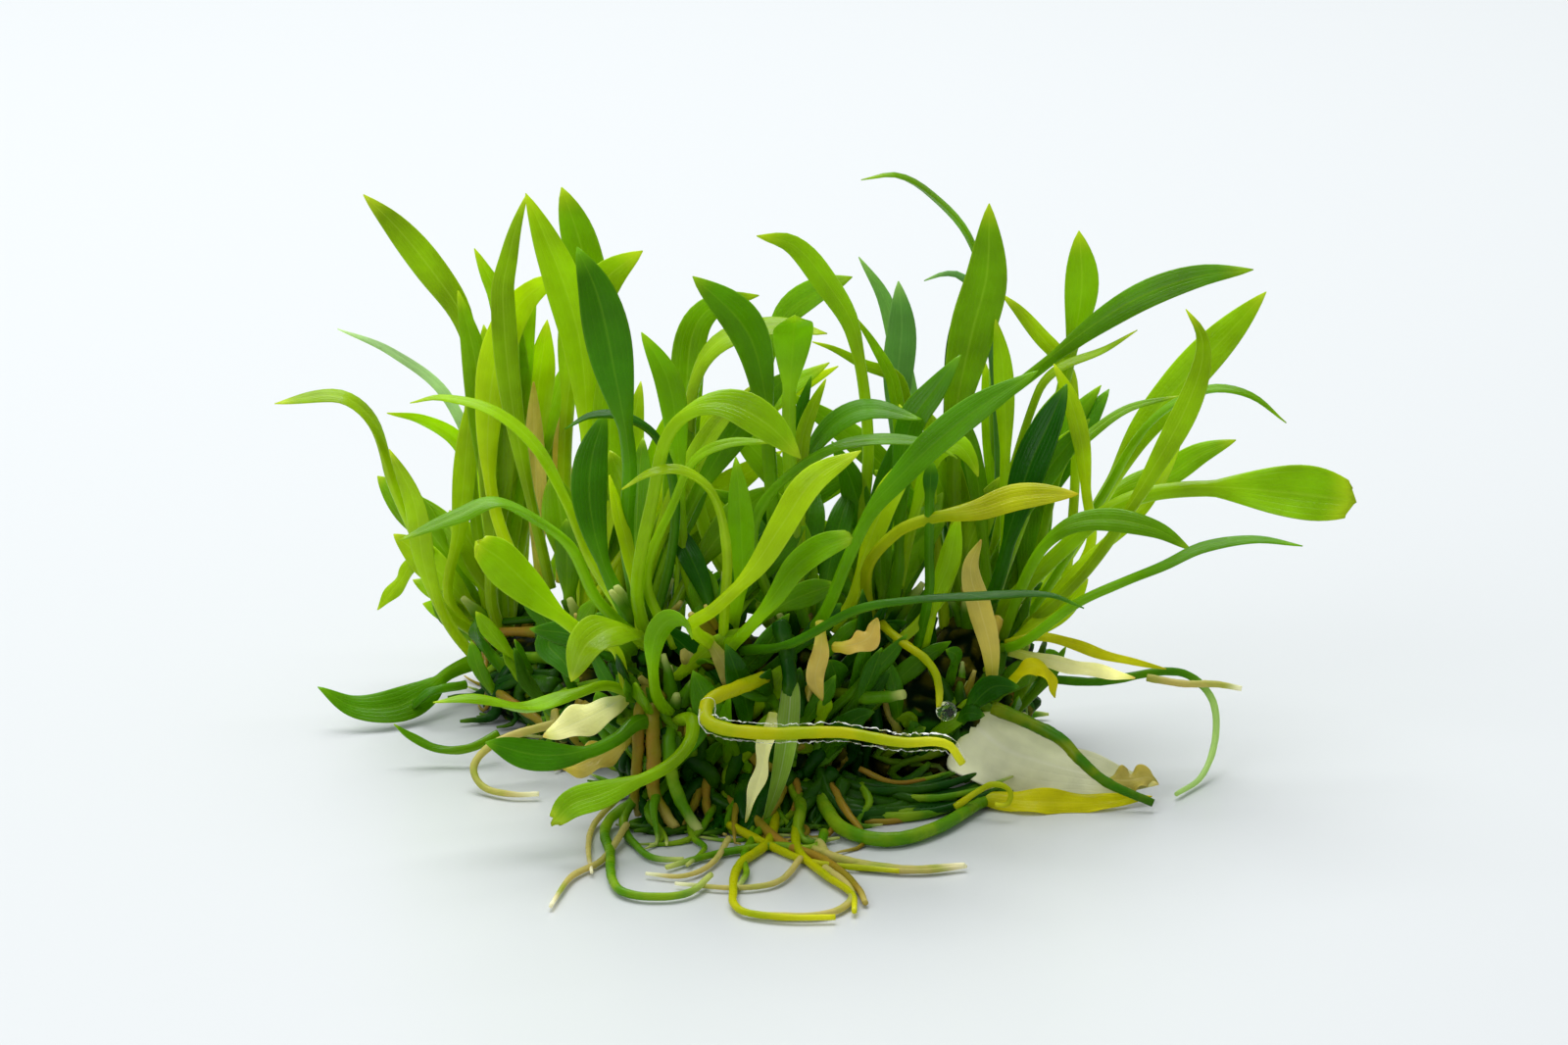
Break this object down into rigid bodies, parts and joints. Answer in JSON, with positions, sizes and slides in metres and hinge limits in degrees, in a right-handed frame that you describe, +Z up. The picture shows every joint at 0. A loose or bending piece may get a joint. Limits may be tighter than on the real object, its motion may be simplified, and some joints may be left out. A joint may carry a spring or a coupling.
{
  "type": "dwarf cryptocoryne",
  "caption": "Small clump of a dwarf water plant: narrow green leaves fan up from a lumpy rootstock, and thin roots splay on the surface.",
  "frame": {"origin": "a point on the flat underside of the rootstock, under the front crowns", "axes": "+Z up, +X to the right as the picture sees the clump, +Y away from the viewer"},
  "size_m": [0.061, 0.0507, 0.033],
  "materials": {
    "rootstock": "damp brown and green rootstock with old sheaths",
    "leaf_dark": "glossy dark green living leaf",
    "leaf_mid": "glossy mid green living leaf",
    "leaf_lime": "glossy lime green living leaf",
    "leaf_yellow": "glossy yellowing leaf",
    "leaf_dead": "pale translucent dying leaf",
    "root": "damp green to tan root"
  },
  "bodies": {
    "root": {"rootstock": "rootstock", "leaf_left_tall": "leaf_mid", "leaf_left_small": "leaf_lime", "leaf_left_thread": "leaf_dark", "leaf_left_broad": "leaf_dark", "leaf_left_bow": "leaf_lime", "leaf_left_arch": "leaf_mid", "leaf_left_round": "leaf_lime", "leaf_middle_blade": "leaf_mid", "leaf_middle_hook": "leaf_lime", "leaf_middle_behind": "leaf_mid", "leaf_middle_spade": "leaf_mid", "leaf_middle_bow": "leaf_lime", "leaf_front_spoon": "leaf_lime", "leaf_front_curl": "leaf_lime", "leaf_front_upright": "leaf_mid", "leaf_front_bright": "leaf_lime", "leaf_front_blunt": "leaf_mid", "leaf_front_arch": "leaf_mid", "leaf_front_sweep": "leaf_dark", "leaf_low_short": "leaf_lime", "leaf_low_folded": "leaf_mid", "leaf_low_wavy": "leaf_lime", "leaf_low_dark": "leaf_dark", "leaf_low_curl": "leaf_lime", "leaf_centre_dark": "leaf_dark", "leaf_centre_back": "leaf_dark", "leaf_right_needle": "leaf_dark", "leaf_right_short": "leaf_lime", "leaf_right_yellow": "leaf_yellow", "leaf_right_spoon": "leaf_lime", "leaf_right_low": "leaf_dark", "leaf_right_wing": "leaf_lime", "leaf_right_crook": "leaf_mid", "leaf_right_tall": "leaf_lime", "leaf_right_second": "leaf_lime", "leaf_right_far": "leaf_lime", "leaf_right_curl": "leaf_lime", "leaf_right_hook": "leaf_mid", "leaf_right_back": "leaf_lime", "leaf_right_dark": "leaf_mid", "leaf_rear_left": "leaf_lime", "leaf_rear_tall": "leaf_lime", "leaf_rear_round": "leaf_lime", "leaf_rear_right": "leaf_lime", "leaf_rear_arch": "leaf_lime", "leaf_rear_reach": "leaf_lime", "leaf_rear_pale": "leaf_dead", "leaf_rear_low": "leaf_dark", "leaf_dead_right": "leaf_dead", "root_bright": "root", "root_left_hook": "root", "root_front_loop": "root", "root_front_return": "root", "root_front_right": "root", "root_right_thin": "root", "root_left_loop": "root", "runner_floor": "root", "runner_right": "root"}
  },
  "joints": []
}
